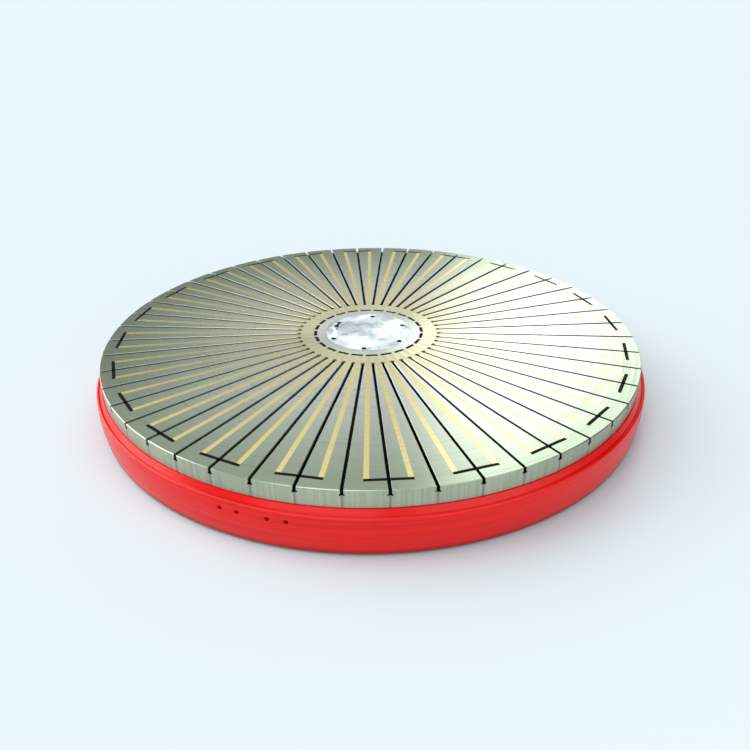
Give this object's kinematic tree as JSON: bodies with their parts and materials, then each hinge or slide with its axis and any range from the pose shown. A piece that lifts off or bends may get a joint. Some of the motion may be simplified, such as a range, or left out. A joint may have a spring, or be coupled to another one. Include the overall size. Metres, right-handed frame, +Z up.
{
  "type": "magnetic rotary table",
  "caption": "Round magnetic rotary table: ground steel face with radial brass-lined poles and T-slots, turning in a low red base.",
  "frame": {"origin": "centre of the flat underside of the base", "axes": "+Z up, out of the working face, along the axis of rotation; +X and +Y each run along a T-slot in the middle of a pole"},
  "size_m": [2.0558, 2.0558, 0.22],
  "materials": {
    "red_enamel": "glossy red enamel over a machined casting",
    "ground_steel": "surface ground, fine circular lay",
    "brass": "ground flush with the steel",
    "slot_filler": "dark cast resin filler, ground flush",
    "cover_aluminium": "turned, slightly stained",
    "cover_screws": "blackened steel",
    "black_paint": "black paint, satin",
    "black_screws": "black oxide",
    "rubber": "matte",
    "bearing_steel": "machined",
    "polished_steel": "polished balls",
    "nylon": "natural nylon",
    "magnet_iron": "machined soft iron",
    "copper": "copper",
    "laminate": "brown phenolic laminate",
    "carbon": "graphite",
    "spring_steel": "spring wire",
    "terminal_brass": "turned brass",
    "lead_insulation": "wire insulation"
  },
  "bodies": {
    "base": {"base_housing": "red_enamel", "bottom_cover": "black_paint", "bottom_cover_screws": "black_screws", "rim_seal": "rubber", "hub_seal": "rubber", "bearing_outer_ring": "bearing_steel", "bearing_seals": "rubber", "bearing_base_screws": "black_screws", "brush_holder": "laminate", "brush_spring_inner": "spring_steel", "brush_spring_outer": "spring_steel", "terminal_board": "laminate", "terminal_screws": "terminal_brass", "brush_leads": "lead_insulation"},
    "table": {"faceplate": "ground_steel", "pole_pieces": "ground_steel", "brass_strips": "brass", "outer_fillers": "slot_filler", "inner_fillers": "slot_filler", "hub_cover": "cover_aluminium", "hub_cover_screws": "cover_screws", "bearing_table_screws": "black_screws", "rim_screws": "black_screws", "hub_screws": "black_screws", "pole_screws": "black_screws", "drive_hub_screws": "black_screws", "hub_cover_gasket": "rubber", "bearing_inner_ring": "bearing_steel", "stud_bushes": "nylon", "yoke_plate": "magnet_iron", "yoke_rim_ring": "magnet_iron", "yoke_hub_ring": "magnet_iron", "pole_cores": "magnet_iron", "drive_hub": "magnet_iron", "coils": "copper", "coil_links": "copper", "bus_ring_inner": "copper", "bus_ring_outer": "copper", "slip_ring_inner": "copper", "slip_ring_outer": "copper", "slip_ring_studs": "copper", "coil_bobbins": "laminate", "bus_insulator": "laminate", "slip_ring_carrier": "laminate"},
    "ball_train": {"bearing_balls": "polished_steel", "ball_spacers": "nylon"},
    "inner_brush": {"brush_inner": "carbon"},
    "outer_brush": {"brush_outer": "carbon"}
  },
  "joints": [
    {"name": "table_spin", "type": "hinge", "parent": "base", "child": "table", "pos_m": [0, 0, 0.048], "axis": [0, 0, 1], "continuous": true},
    {"name": "ball_train_spin", "type": "hinge", "parent": "base", "child": "ball_train", "pos_m": [0, 0, 0.048], "axis": [0, 0, 1], "continuous": true},
    {"name": "brush_inner_slide", "type": "slide", "parent": "base", "child": "inner_brush", "axis": [0, 0, -1], "range_m": [0, 0.006], "stiffness_N_per_m": 300, "springref_m": -0.02, "deforming": ["brush_spring_inner"]},
    {"name": "brush_outer_slide", "type": "slide", "parent": "base", "child": "outer_brush", "axis": [0, 0, -1], "range_m": [0, 0.006], "stiffness_N_per_m": 300, "springref_m": -0.02, "deforming": ["brush_spring_outer"]}
  ],
  "couplings": [
    {"joint": "ball_train_spin", "follows": "table_spin", "ratio": 0.4873}
  ]
}
